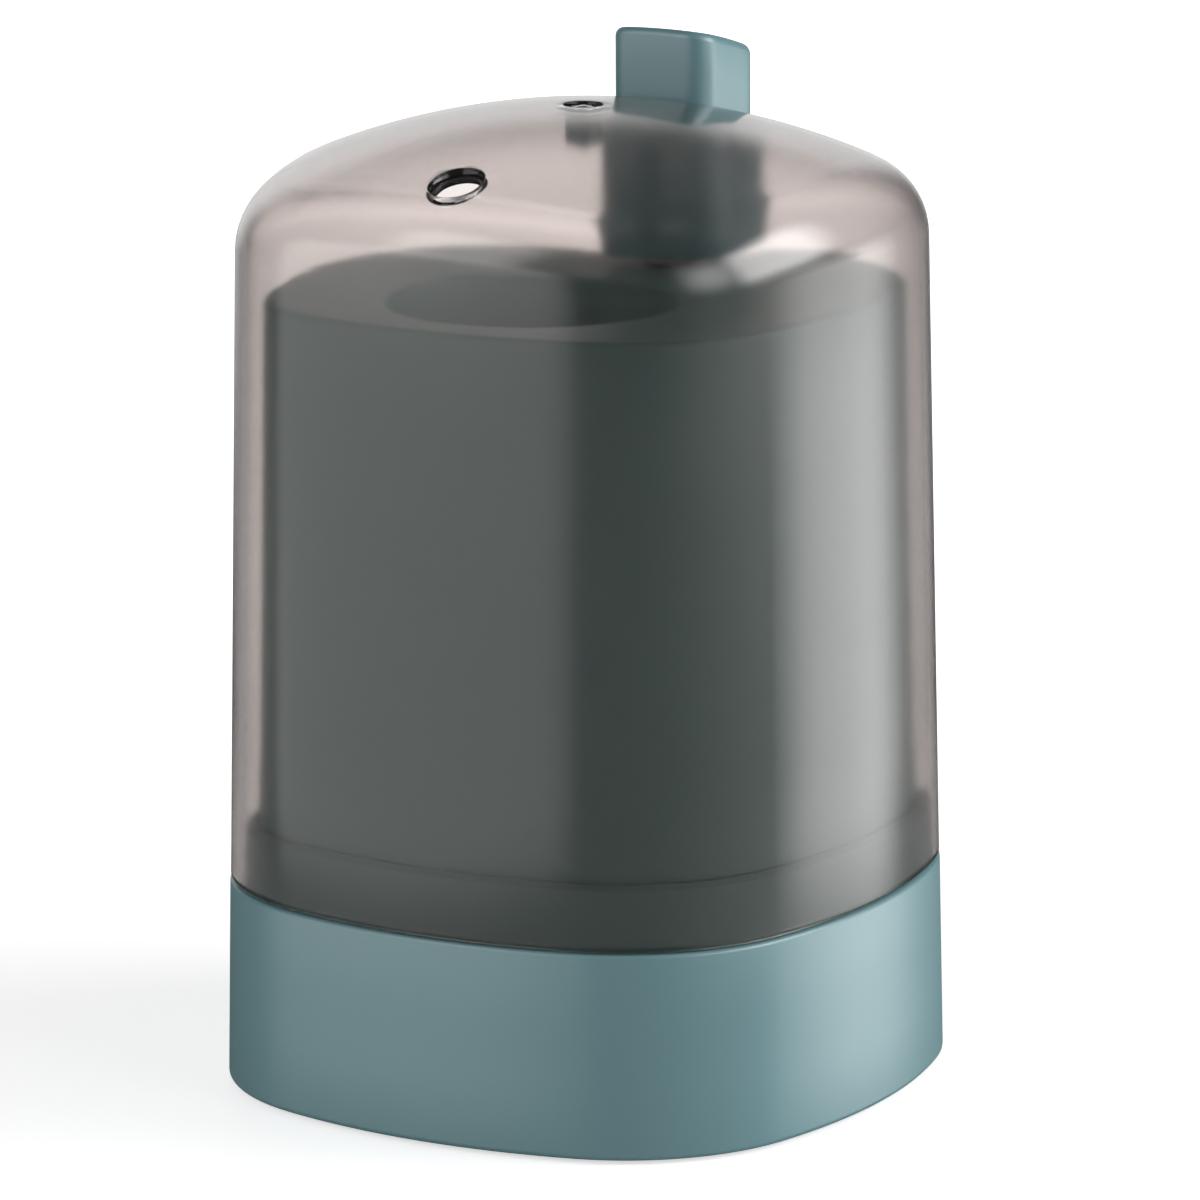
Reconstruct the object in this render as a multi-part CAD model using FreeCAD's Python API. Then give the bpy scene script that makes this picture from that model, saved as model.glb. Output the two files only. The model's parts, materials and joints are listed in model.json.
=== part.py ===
import FreeCAD, Part
import math
import os

# Toothpick dispenser: a lift-off domed cover over a container with a round well.
# Pressing the knob pushes a rod down behind the well; a lever in the base turns that
# into a longer stroke of a lifter, which raises one toothpick through the outlet.
# +Z is up and -Y is the front, where the outlet is. The origin is the middle of the
# footprint, on the table. All lengths are millimetres and all angles degrees.

V = FreeCAD.Vector

# Outer form
body_width = 72.0           # across the sides of the base, at the table
side_radius = 67.0          # plan radius of each bowed side
corner_radius = 22.9        # plan radius of each corner
draft = 1.22                # lean of every outer wall
base_height = 22.3          # table to the joint line
crown_height = 104.7        # table to the top of the dome
crown_radius = 78.5         # radius of the spherical dome
shoulder_radius = 8.6       # round between the dome and the walls

# Base
foot_proud = 0.4            # how far the feet hold the base off the table
base_wall = 2.2
deck_thickness = 1.6
base_edge_round = 0.6
rib_reach = 0.66            # share of the half width that the plate's ribs run to
rib_gap = 1.2               # between those ribs and the lever's bracket
joint_chamfer = 0.35        # small bevel each side of the joint line
rim_height = 7.0            # rim that the cover slides over
rim_wall = 1.1
rim_lead = 0.5              # bevel that leads the cover on

# Cover
cover_step = 0.07           # cover wall set in from the base wall
cover_wall = 1.5
cover_fit = 0.25            # gap between the rim and the cover
rest_gap = 0.05             # cover edge above its ledge

# Container and well
container_fit = 0.2         # gap between the rim and the container
container_wall = 1.4
head_space = 19.3           # top of the dome above the container
container_roof = 1.6
container_edge_round = 0.8
well_radius = 15.15         # at the mouth
well_inset = 25.4           # middle of the well inside the front of the body
well_draft = 0.5
well_wall = 1.3
well_rise = 11.5            # end of the well tube above the deck
well_lip = 0.5              # round on the mouth
rib_thickness = 1.0
rib_depth = 22.0

# Well floor
floor_flange = 1.5
floor_plug = 4.0            # how far the floor reaches up into the well tube
floor_fit = 0.05
floor_margin = 0.6          # land left around the top of the hopper
hopper_drop = 7.0           # fall of the hopper from its top to the neck
neck_wall = 1.6
neck_length = 1.5

# Knob
knob_width = 12.0
knob_corner = 2.5
knob_inset = 14.4           # middle of the knob inside the back of the body
knob_proud = 7.5            # height above the dome, measured square to it
knob_travel = 5.0
knob_edge_round = 0.9
knob_fit = 0.25             # gap between the knob and its opening
skirt_overlap = 1.1         # ledge that stops the knob under the dome
skirt_edge = 0.7            # ledge at its thinnest, at the back
skirt_gap = 0.3             # ledge below the inside of the dome
knob_bore = 4.7
knob_roof = 1.3             # roof at its thinnest, at the back
socket_wall = 0.9
socket_length = 5.0
stem_radius = 2.0
socket_roof = 0.8           # left above the stem's hole
stem_grip = 4.1             # length of the stem held in the knob
stem_reach = 1.0            # stem below the bracket at rest
knob_wire = 0.6
knob_coil_radius = 3.9
knob_coil_turns = 5
wire_sides = 8

# Bracket under the dome
bracket_plate = 1.5
bracket_half_width = 7.0
bracket_gap = 0.4           # pressed skirt above the bracket plate
bracket_rib = 2.0
bracket_post = 3.6
spring_seat_height = 3.0
spring_seat_radius = 4.3
heel_length = 2.0
heel_half_width = 3.0
heel_gap = 1.5              # between the knob's ledge and the heel

# Top screw
screw_well_radius = 2.1
screw_well_depth = 1.3
top_head_radius = 1.75
top_head_height = 0.95
top_head_round = 0.66
top_shank_radius = 1.1
top_screw_length = 7.0
pilot_spare = 1.2           # pilot hole beyond the screw's end
screw_boss_radius = 4.2
screw_boss_depth = 3.0
pilot_gap = 0.15            # clearance round a shank where it passes freely

# Outlet
outlet_inset = 9.6          # middle of the outlet inside the front of the body
outlet_width = 6.4          # across the hole in the dome
outlet_length = 8.6         # front to back, along the dome
ring_fit = 0.05
ring_wall = 0.65            # round the bore
ring_step = 1.0             # depth of the funnel at the ring's mouth
ring_mouth = 0.15           # land round the funnel
ring_recess = 0.2           # ring below the outside of the dome
ring_flange = 0.7
flange_overlap = 1.0        # flange under the inside of the dome

# Push rod and its spring
rod_radius = 2.0
rod_gap = 0.3               # rod cap below the knob's stem at rest
rod_cap_radius = 3.9
rod_cap_height = 2.2
cap_roof = 0.7
pocket_radius = 4.3         # spring pocket in the container
pocket_depth = 15.6
pocket_wall = 1.5
guide_length = 4.0
rod_wire = 0.7
rod_coil_radius = 3.3
rod_coil_turns = 6

# Lifter
lifter_radius = 2.5
lifter_edge = 1.2           # side of the lifter to the side of the well
cup_proud = 0.4             # cup above the neck of the hopper
cup_height = 3.0
cup_spigot = 1.5
cup_dimple = 1.9
dimple_depth = 0.9
spigot_length = 1.8
spigot_gap = 0.1
neck_gap = 0.15

# Lever in the base
plate_bottom = 0.9
plate_thickness = 1.4
plate_fit = 0.2
lever_ratio = 2.5           # lifter stroke over knob stroke
lever_floor_gap = 0.75      # lever tip above the plate, at rest
tip_radius = 2.0
hub_radius = 2.8
hub_proud = 0.7             # hub beyond the lever's cheeks
pivot_radius = 1.0
cross_pin_radius = 0.8
tongue = 2.4                # flat on each rod, between the lever's cheeks
tongue_gap = 0.3
cheek_thickness = 1.4
lever_web = 1.2
web_gap = 1.0               # web short of the lifter
rod_flat = 3.5              # length of the push rod's tongue above its pin
lifter_flat = 4.5           # and of the lifter's
pin_end = 0.4               # pin beyond the cheek
running_gap = 0.05          # shaft in a bore, on the radius
slot_gap = 0.08             # pin in a slot, on the radius
press_gap = 0.02            # pressed pieces, on the radius
side_gap = 0.2

# Bracket of the lever
cheek_plate = 1.4
cheek_round = 3.2
bracket_foot = 1.4
bracket_depth = 9.0
pillar_radius = 2.8
pillar_height = 6.0
pillar_spread = 9.4

# Bushes
bush_flange = 1.2
bush_flange_overlap = 1.5
bush_wall = 1.1
bush_rise = 4.0
bush_drop = 0.4             # sleeve below the deck

# Fasteners and feet
boss_radius = 3.4
boss_inset = 5.3            # boss centre inside the corner's wall
gusset = 1.2
gusset_rise = 3.0           # gusset clear of the plate
screw_shank = 1.25
screw_pilot = 1.1
screw_head_radius = 2.5
screw_head_height = 1.2
screw_length = 9.0
drive_depth = 0.6
drive_width = 0.6
drive_length = 3.0
bracket_screw_length = 5.5
clamp_boss_radius = 3.0
clamp_boss_height = 9.0
clamp_boss_inset = 0.3
clamp_spread = 12.0         # either side of the middle
clamp_screw_length = 7.0
foot_radius = 4.0
foot_recess = 0.3
foot_side = 22.0            # middle of each foot inside the side of the body
foot_end = 9.0              # and inside its front or back
clip_thickness = 0.4
clip_radius = 2.0
clip_groove = 0.3
clip_mouth = 1.1
pin_head_radius = 1.8
pin_head_height = 0.85
pin_tail = 0.5              # pivot pin beyond its clip

# Places that follow from the sizes above
half_width = body_width / 2
slope = math.tan(math.radians(draft))
crown_centre = crown_height - crown_radius
container_top = crown_height - head_space
well_y = well_inset - half_width
well_bottom = base_height + well_rise
pocket_floor = container_top - pocket_depth
knob_y = half_width - knob_inset
outlet_y = outlet_inset - half_width
foot_x = half_width - foot_side
foot_y = half_width - foot_end
deck_bottom = base_height - deck_thickness
plate_top = plate_bottom + plate_thickness
cavity_inset = cover_step + cover_wall
rim_inset = cavity_inset + cover_fit
container_inset = rim_inset + rim_wall + container_fit
knob_half = knob_width / 2
skirt_half = knob_half + skirt_overlap
skirt_corner = math.hypot(knob_y + skirt_half, skirt_half)
skirt_reach = crown_radius - cavity_inset - skirt_gap
skirt_bottom = crown_centre + math.sqrt(skirt_reach ** 2 - skirt_corner ** 2) - skirt_edge
knob_corner_out = math.hypot(knob_y + knob_half, knob_half)
knob_ceiling = crown_centre + math.sqrt((crown_radius + knob_proud) ** 2 - knob_corner_out ** 2) - knob_roof
bracket_top = skirt_bottom - knob_travel - bracket_gap
bracket_bottom = bracket_top - bracket_plate
seat_top = bracket_top + spring_seat_height
stem_bottom = bracket_bottom - stem_reach
rod_top = stem_bottom - rod_gap
cap_bottom = rod_top - rod_cap_height
well_foot_radius = well_radius - (container_top - well_bottom) * math.tan(math.radians(well_draft))
lifter_y = well_y - well_foot_radius + lifter_radius + lifter_edge
neck_top = well_bottom + floor_plug - hopper_drop
cup_top = neck_top + cup_proud
rod_arm = (knob_y - lifter_y) / (1 + lever_ratio)
lifter_arm = rod_arm * lever_ratio
pivot_y = knob_y - rod_arm
lever_tilt = math.degrees(math.atan(knob_travel / 2 / rod_arm))
lift = knob_travel * lever_ratio
pivot_z = plate_top + lever_floor_gap + tip_radius + lift / 2
rod_pin_z = pivot_z + knob_travel / 2
lifter_pin_z = pivot_z - lift / 2
cheek_inner = tongue / 2 + tongue_gap
cheek_outer = cheek_inner + cheek_thickness
hub_half = cheek_outer + hub_proud
pin_face = hub_half + side_gap + cheek_plate
outlet_lean = math.degrees(math.asin(-outlet_y / crown_radius))
ring_level = -cavity_inset - ring_flange
top_screw_seat = crown_height - screw_well_depth + press_gap
top_boss_bottom = crown_height - screw_boss_depth
lifter_top = cup_top - cup_height
spigot_top = lifter_top + spigot_length


def block(x0, x1, y0, y1, z0, z1):
    return Part.makeBox(x1 - x0, y1 - y0, z1 - z0, V(x0, y0, z0))


def post(radius, z0, z1, x=0.0, y=0.0):
    return Part.makeCylinder(radius, z1 - z0, V(x, y, z0))


def shaft(radius, x0, x1, y, z):
    return Part.makeCylinder(radius, x1 - x0, V(x0, y, z), V(1, 0, 0))


def fuse(shapes):
    whole = shapes[0].multiFuse(shapes[1:]) if len(shapes) > 1 else shapes[0]
    return whole.removeSplitter()


def cut(shape, tools):
    for tool in tools:
        shape = shape.cut(tool)
    return shape


def corners(x, y):
    return [(sx * x, sy * y) for sx in (-1, 1) for sy in (-1, 1)]


def corner_centre():
    """Plan position, in x and in y, of the centre of each corner arc."""
    side_centre = half_width - side_radius
    reach = side_radius - corner_radius
    return (side_centre + math.sqrt(2 * reach ** 2 - side_centre ** 2)) / 2


def arc(centre_x, centre_y, radius, start, end, z):
    points = []
    for angle in (start, (start + end) / 2, end):
        points.append(V(centre_x + radius * math.cos(angle), centre_y + radius * math.sin(angle), z))
    return Part.Arc(*points).toShape()


def outline(inset, z):
    """The body's plan outline: four bowed sides and four tangent corners, moved in by inset."""
    side_centre = half_width - side_radius
    centre = corner_centre()
    split = math.atan2(centre, centre - side_centre)
    edges = []
    for quarter in range(4):
        turn = quarter * math.pi / 2
        side_x = side_centre * math.cos(turn)
        side_y = side_centre * math.sin(turn)
        edges.append(arc(side_x, side_y, side_radius - inset, turn - split, turn + split, z))
        corner_turn = turn + math.pi / 4
        corner_x = centre * math.sqrt(2) * math.cos(corner_turn)
        corner_y = centre * math.sqrt(2) * math.sin(corner_turn)
        corner_end = turn + math.pi / 2 - split
        edges.append(arc(corner_x, corner_y, corner_radius - inset, turn + split, corner_end, z))
    return Part.Wire(edges)


def drafted(inset, z0, z1):
    """A solid inside the body's drafted walls, from z0 to z1."""
    wires = [outline(inset + z * slope, z) for z in (z0, z1)]
    return Part.makeLoft(wires, True, True)


def ball(inset):
    """The sphere of the dome, moved in by inset, with its seam kept under the crown."""
    sphere = Part.makeSphere(crown_radius - inset, V(0, 0, crown_centre), V(0, 1, 0))
    sphere.rotate(V(0, 0, crown_centre), V(0, 1, 0), 90)
    return sphere


def domed(inset, z0):
    """The closed outer form of the cover, moved in by inset and standing on z0."""
    solid = drafted(inset, z0, crown_height + 1).common(ball(inset))
    crown_edges = [edge for edge in solid.Edges if edge.BoundBox.ZMin > container_top + 2]
    return solid.makeFillet(shoulder_radius - inset, crown_edges)


def rounded_prism(half_x, half_y, radius, y, z0, z1):
    """An upright prism with rounded corners, centred on x = 0 and on y."""
    radius = min(radius, half_x, half_y)
    edges = []
    places = [(half_x, half_y), (-half_x, half_y), (-half_x, -half_y), (half_x, -half_y)]
    for quarter, (px, py) in enumerate(places):
        centre_x = px - math.copysign(radius, px)
        centre_y = y + py - math.copysign(radius, py)
        start = quarter * math.pi / 2
        edges.append(arc(centre_x, centre_y, radius, start, start + math.pi / 2, z0))
    outline_edges = []
    for quarter in range(4):
        outline_edges.append(edges[quarter])
        here = edges[quarter].Vertexes[-1].Point
        after = edges[(quarter + 1) % 4].Vertexes[0].Point
        if here.distanceToPoint(after) > 0.001:
            outline_edges.append(Part.makeLine(here, after))
    return Part.Face(Part.Wire(outline_edges)).extrude(V(0, 0, z1 - z0))


def cone_between(radius0, y0, z0, radius1, y1, z1):
    """A round hopper between two level circles whose centres need not be in line."""
    wires = []
    for radius, y, z in ((radius0, y0, z0), (radius1, y1, z1)):
        wires.append(Part.Wire(Part.makeCircle(radius, V(0, y, z))))
    return Part.makeLoft(wires, True, True)


def coil(mean_radius, wire, z0, z1, turns, y):
    """A helical compression spring standing on z0 and reaching z1, of wire with narrow flats."""
    height = z1 - z0 - wire
    path = Part.makeHelix(height / turns, height, mean_radius)
    rim = []
    for side in range(wire_sides + 1):
        angle = (side + 0.5) * 2 * math.pi / wire_sides
        rim.append(V(mean_radius + wire / 2 * math.cos(angle), 0, wire / 2 * math.sin(angle)))
    spring = Part.Wire(path).makePipeShell([Part.makePolygon(rim)], True, True)
    spring.translate(V(0, y, z0 + wire / 2))
    return spring


def countersunk_screw(x, y, z, length):
    """A flat-headed screw pointing up, with its head flush at z."""
    head = Part.makeCone(screw_head_radius, screw_shank, screw_head_height, V(x, y, z))
    shank = post(screw_pilot, z + screw_head_height, z + length, x, y)
    cross = []
    for half_x, half_y in ((drive_length / 2, drive_width / 2), (drive_width / 2, drive_length / 2)):
        cross.append(block(x - half_x, x + half_x, y - half_y, y + half_y, z, z + drive_depth))
    return cut(head.fuse(shank), cross)


def countersink(x, y):
    """The hole that such a screw needs in the base plate."""
    cone = Part.makeCone(screw_head_radius + side_gap, screw_shank + pilot_gap, screw_head_height,
                         V(x, y, plate_bottom))
    return cone.fuse(post(screw_shank + pilot_gap, plate_bottom, plate_top + 1, x, y))


def base_screw_places():
    reach = corner_radius - base_wall - boss_inset
    place = corner_centre() + reach / math.sqrt(2)
    return corners(place, place)


def clamp_places():
    """Where the container is screwed to the deck, two places on each side wall."""
    wall_inside = half_width - container_inset - container_wall - base_height * slope
    return corners(wall_inside - clamp_boss_radius - clamp_boss_inset, clamp_spread)


def base_boss(x, y):
    """A screw boss hanging from the deck, with a gusset to the corner's wall."""
    boss = post(boss_radius, plate_top, deck_bottom + 0.5, x, y)
    web = block(0, boss_inset + 1, -gusset / 2, gusset / 2, plate_top + gusset_rise, deck_bottom + 0.5)
    web.rotate(V(0, 0, 0), V(0, 0, 1), math.degrees(math.atan2(y, x)))
    web.translate(V(x, y, 0))
    return boss.fuse(web)


def base_shell():
    shell = drafted(0.0, foot_proud, base_height)
    low = [edge for edge in shell.Edges if edge.BoundBox.ZMax < foot_proud + 0.01]
    shell = shell.makeFillet(base_edge_round, low)
    high = [edge for edge in shell.Edges if edge.BoundBox.ZMin > base_height - 0.01]
    shell = shell.makeChamfer(joint_chamfer, high)
    shell = shell.cut(drafted(base_wall, foot_proud - 1, deck_bottom))
    rim = drafted(rim_inset, base_height - deck_thickness / 2, base_height + rim_height)
    crest = [edge for edge in rim.Edges if edge.BoundBox.ZMin > base_height + rim_height - 0.01]
    rim = rim.makeChamfer(rim_lead, crest)
    rim = rim.cut(drafted(rim_inset + rim_wall, base_height, base_height + rim_height + 1))
    bosses = [base_boss(x, y) for x, y in base_screw_places()]
    shell = fuse([shell, rim] + bosses)
    inside = drafted(0.5, foot_proud, base_height + rim_height + 1)
    shell = shell.common(inside.fuse(drafted(0.0, foot_proud, base_height)))
    holes = [post(screw_pilot, plate_top - 1, deck_bottom - 1, x, y) for x, y in base_screw_places()]
    passages = [(screw_shank + pilot_gap, x, y) for x, y in clamp_places()]
    passages.append((rod_radius + bush_wall + press_gap, 0, knob_y))
    passages.append((lifter_radius + bush_wall + press_gap, 0, lifter_y))
    for radius, x, y in passages:
        holes.append(post(radius, deck_bottom - 1, base_height + 1, x, y))
    return cut(shell, holes)


def base_plate():
    plate = drafted(base_wall + plate_fit, plate_bottom, plate_top)
    rib_half = half_width * rib_reach
    ribs = []
    rib_x = pillar_spread + pillar_radius + rib_gap + gusset / 2
    for x in (-rib_x, rib_x):
        ribs.append(block(x - gusset / 2, x + gusset / 2, -rib_half, rib_half, plate_top, plate_top + gusset))
    stop_top = lifter_pin_z - tip_radius - slot_gap * 2
    half_stop = tip_radius / 2
    stop = block(-cheek_outer, cheek_outer, lifter_y - half_stop, lifter_y + half_stop, plate_top, stop_top)
    plate = fuse([plate, stop] + ribs)
    holes = [countersink(x, y) for x, y in base_screw_places()]
    holes += [countersink(x, pivot_y) for x in (-pillar_spread, pillar_spread)]
    for x, y in corners(foot_x, foot_y):
        holes.append(post(foot_radius + side_gap, plate_bottom - 1, plate_bottom + foot_recess, x, y))
    return cut(plate, holes)


def foot(x, y):
    pad = post(foot_radius, 0, plate_bottom + foot_recess, x, y)
    sole = [edge for edge in pad.Edges if edge.BoundBox.ZMax < 0.01]
    return pad.makeChamfer(foot_recess, sole)


def container():
    body = drafted(container_inset, base_height, container_top)
    top = [edge for edge in body.Edges if edge.BoundBox.ZMin > container_top - 0.01]
    body = body.makeFillet(container_edge_round, top)
    hollow = drafted(container_inset + container_wall, base_height - 1, container_top - container_roof)
    shell = body.cut(hollow)
    foot_outer = well_foot_radius + well_wall
    mouth_outer = well_radius + well_wall
    well_depth = container_top - well_bottom
    tube = Part.makeCone(foot_outer, mouth_outer, well_depth - 1, V(0, well_y, well_bottom))
    guide = post(pocket_radius + pocket_wall, pocket_floor - guide_length, container_top - 1, 0, knob_y)
    bosses = []
    for x, y in clamp_places():
        bosses.append(post(clamp_boss_radius, base_height, base_height + clamp_boss_height, x, y))
    wall_inside = half_width - container_inset - container_wall
    half_rib = rib_thickness / 2
    ribs = []
    across = (wall_inside, well_y - half_rib, well_y + half_rib)
    lengthways = (half_rib, -wall_inside, wall_inside)
    for half_x, y0, y1 in (across, lengthways):
        ribs.append(block(-half_x, half_x, y0, y1, container_top - rib_depth, container_top - 1))
    shell = fuse([shell, tube, guide] + bosses + ribs)
    taper = math.tan(math.radians(well_draft))
    mouth = Part.makeCone(well_foot_radius, well_radius + taper, well_depth + 1, V(0, well_y, well_bottom))
    below = post(well_foot_radius, well_bottom - 1, well_bottom, 0, well_y)
    pocket = post(pocket_radius, pocket_floor, container_top + 1, 0, knob_y)
    bore = post(rod_radius + running_gap, base_height, pocket_floor + 1, 0, knob_y)
    pilots = []
    for x, y in clamp_places():
        pilots.append(post(screw_pilot, base_height - 1, base_height + clamp_boss_height - 1, x, y))
    shell = cut(shell, [mouth, below, pocket, bore] + pilots)
    level = [edge for edge in shell.Edges if edge.BoundBox.ZMin > container_top - 0.01]
    rounds = [edge for edge in level if hasattr(edge.Curve, "Radius")]
    lips = [edge for edge in rounds if abs(edge.Curve.Center.y - well_y) < 0.01]
    return shell.makeFillet(well_lip, lips)


def well_floor():
    top = well_bottom + floor_plug
    plug = post(well_foot_radius - floor_fit, well_bottom, top, 0, well_y)
    flange = post(well_foot_radius + well_wall, well_bottom - floor_flange, well_bottom, 0, well_y)
    bowl_radius = well_foot_radius - floor_margin
    neck_radius = lifter_radius + neck_gap
    bowl = cone_between(bowl_radius, well_y, top + 0.01, neck_radius, lifter_y, neck_top)
    share = (top - well_bottom + floor_flange) / hopper_drop
    flange_hopper = bowl_radius + (neck_radius - bowl_radius) * share
    flange_y = well_y + (lifter_y - well_y) * share
    hopper = cone_between(flange_hopper + neck_wall, flange_y, well_bottom - floor_flange + 0.01,
                          neck_radius + neck_wall, lifter_y, neck_top - neck_length)
    floor = fuse([plug, flange, hopper])
    return cut(floor, [bowl, post(neck_radius, neck_top - neck_length - 1, neck_top + 0.1, 0, lifter_y)])


def bush(shaft_radius, y):
    """A flanged guide bush standing in the deck."""
    inner = shaft_radius + running_gap
    outer = shaft_radius + bush_wall
    sleeve = post(outer, deck_bottom - bush_drop, base_height + bush_rise, 0, y)
    flange = post(outer + bush_flange_overlap, base_height, base_height + bush_flange, 0, y)
    return sleeve.fuse(flange).cut(post(inner, 0, base_height + bush_rise + 1, 0, y)).removeSplitter()


def tongued_rod(radius, pin_z, top, y, flat_height):
    """A round rod with a flat tongue and a cross hole for the lever's pin at its lower end."""
    rod = post(radius, pin_z - tip_radius, top, 0, y)
    reach = radius + 1
    sides = []
    for x0, x1 in ((-reach, -tongue / 2), (tongue / 2, reach)):
        sides.append(block(x0, x1, y - reach, y + reach, pin_z - tip_radius - 1, pin_z + flat_height))
    hole = shaft(cross_pin_radius + press_gap, -reach, reach, y, pin_z)
    return cut(rod, sides + [hole])


def push_rod():
    return tongued_rod(rod_radius, rod_pin_z, rod_top - cap_roof, knob_y, rod_flat)


def lifter():
    rod = tongued_rod(lifter_radius, lifter_pin_z, lifter_top, lifter_y, lifter_flat)
    spigot = post(cup_spigot, lifter_top - 0.1, spigot_top, 0, lifter_y)
    return rod.fuse(spigot).removeSplitter()


def lifter_cup():
    cup = post(lifter_radius, lifter_top, cup_top, 0, lifter_y)
    dimple = Part.makeCone(spigot_gap, cup_dimple, dimple_depth, V(0, lifter_y, cup_top - dimple_depth))
    socket = post(cup_spigot + press_gap, lifter_top, spigot_top + spigot_gap, 0, lifter_y)
    return cut(cup, [dimple, socket])


def rod_cap():
    cap = post(rod_cap_radius, cap_bottom, rod_top, 0, knob_y)
    rim = [edge for edge in cap.Edges if edge.BoundBox.ZMin > rod_top - 0.01]
    cap = cap.makeFillet(cap_roof / 2, rim)
    return cap.cut(post(rod_radius + press_gap, cap_bottom - 1, rod_top - cap_roof, 0, knob_y))


def rod_spring():
    return coil(rod_coil_radius, rod_wire, pocket_floor, cap_bottom, rod_coil_turns, knob_y)


def cross_pin(y, z):
    end = cheek_outer + pin_end
    return shaft(cross_pin_radius, -end, end, y, z)


def link(length, end_radius):
    """Side view of one lever arm along +Y: a hub circle and a tip circle with tangent sides."""
    lean = math.asin((hub_radius - end_radius) / length)
    hub_up = V(0, hub_radius * math.sin(lean), hub_radius * math.cos(lean))
    tip_up = V(0, length + end_radius * math.sin(lean), end_radius * math.cos(lean))
    hub_down = V(0, hub_up.y, -hub_up.z)
    tip_down = V(0, tip_up.y, -tip_up.z)
    tip = Part.Arc(tip_up, V(0, length + end_radius, 0), tip_down).toShape()
    back = Part.Arc(hub_down, V(0, -hub_radius, 0), hub_up).toShape()
    edges = [Part.makeLine(hub_up, tip_up), tip, Part.makeLine(tip_down, hub_down), back]
    return Part.Face(Part.Wire(edges))


def lever_slot(reach):
    """Slot that lets a cross pin slide along the lever as it swings."""
    radius = cross_pin_radius + slot_gap
    far = reach / math.cos(math.radians(lever_tilt))
    near_end = shaft(radius, -hub_half, hub_half, reach, 0)
    far_end = shaft(radius, -hub_half, hub_half, far, 0)
    middle = block(-hub_half, hub_half, reach, far, -radius, radius)
    return near_end.fuse([far_end, middle])


def lever():
    """Two cheeks joined by the hub and a web; both ends are forks with slots."""
    rear = rod_arm / math.cos(math.radians(lever_tilt))
    front = lifter_arm / math.cos(math.radians(lever_tilt))
    pieces = [shaft(hub_radius, -hub_half, hub_half, 0, 0)]
    for x in (-cheek_outer, cheek_inner):
        for length, turn in ((rear, 0), (front, 180)):
            arm = link(length, tip_radius).extrude(V(cheek_thickness, 0, 0))
            arm.rotate(V(0, 0, 0), V(0, 0, 1), turn)
            arm.translate(V(x if turn == 0 else x + cheek_thickness, 0, 0))
            pieces.append(arm)
    web_front = lifter_arm - tip_radius - lifter_radius - web_gap
    web_half = lever_web / 2
    pieces.append(block(-cheek_inner, cheek_inner, -web_front, -hub_radius + 0.5, -web_half, web_half))
    body = fuse(pieces)
    front_slot = lever_slot(lifter_arm)
    front_slot.rotate(V(0, 0, 0), V(0, 0, 1), 180)
    bore = shaft(pivot_radius + running_gap, -hub_half - 1, hub_half + 1, 0, 0)
    body = cut(body, [front_slot, lever_slot(rod_arm), bore])
    body.rotate(V(0, 0, 0), V(1, 0, 0), lever_tilt)
    body.translate(V(0, pivot_y, pivot_z))
    return body


def bracket_cheek(x):
    """One upright of the lever bracket, tapering to a round ear at the pivot."""
    half_depth = bracket_depth / 2
    low = plate_top
    rise = pivot_z - low
    span = math.hypot(half_depth, rise)
    turn = math.asin(cheek_round / span) + math.atan2(half_depth, rise)
    side_y = cheek_round * math.cos(turn)
    side_z = cheek_round * math.sin(turn)
    ear_front = V(x, pivot_y - side_y, pivot_z + side_z)
    ear_back = V(x, pivot_y + side_y, pivot_z + side_z)
    ear_top = V(x, pivot_y, pivot_z + cheek_round)
    foot_front = V(x, pivot_y - half_depth, low)
    foot_back = V(x, pivot_y + half_depth, low)
    edges = [Part.makeLine(foot_front, ear_front), Part.Arc(ear_front, ear_top, ear_back).toShape(),
             Part.makeLine(ear_back, foot_back), Part.makeLine(foot_back, foot_front)]
    return Part.Face(Part.Wire(edges)).extrude(V(cheek_plate, 0, 0))


def lever_bracket():
    inner = hub_half + side_gap
    half_span = pillar_spread + pillar_radius
    half_depth = bracket_depth / 2
    foot_y0 = pivot_y - half_depth
    foot_y1 = pivot_y + half_depth
    pieces = [block(-half_span, half_span, foot_y0, foot_y1, plate_top, plate_top + bracket_foot)]
    pieces += [bracket_cheek(-inner - cheek_plate), bracket_cheek(inner)]
    for x in (-pillar_spread, pillar_spread):
        pieces.append(post(pillar_radius, plate_top, plate_top + pillar_height, x, pivot_y))
    body = fuse(pieces)
    holes = [shaft(pivot_radius + running_gap, -half_span, half_span, pivot_y, pivot_z)]
    for x in (-pillar_spread, pillar_spread):
        holes.append(post(screw_pilot, plate_top - 1, plate_top + pillar_height - 1, x, pivot_y))
    return cut(body, holes)


def pivot_pin():
    groove_start = pin_face + press_gap
    groove_end = groove_start + clip_thickness + press_gap
    pin = shaft(pivot_radius, -pin_face - 0.1, groove_end + pin_tail, pivot_y, pivot_z)
    head_start = -pin_face - press_gap - pin_head_height
    head = shaft(pin_head_radius, head_start, -pin_face - press_gap, pivot_y, pivot_z)
    groove = shaft(pivot_radius + 1, groove_start, groove_end, pivot_y, pivot_z)
    groove = groove.cut(shaft(pivot_radius - clip_groove, groove_start - 1, groove_end + 1, pivot_y, pivot_z))
    return pin.fuse(head).cut(groove).removeSplitter()


def pivot_clip():
    start = pin_face + press_gap
    inner = pivot_radius - clip_groove + press_gap
    ring = shaft(clip_radius, start, start + clip_thickness, pivot_y, pivot_z)
    ring = ring.cut(shaft(inner, start - 1, start + 1, pivot_y, pivot_z))
    mouth = block(start - 1, start + 1, pivot_y - clip_mouth / 2, pivot_y + clip_mouth / 2,
                  pivot_z - clip_radius - 1, pivot_z)
    return ring.cut(mouth)


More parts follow.
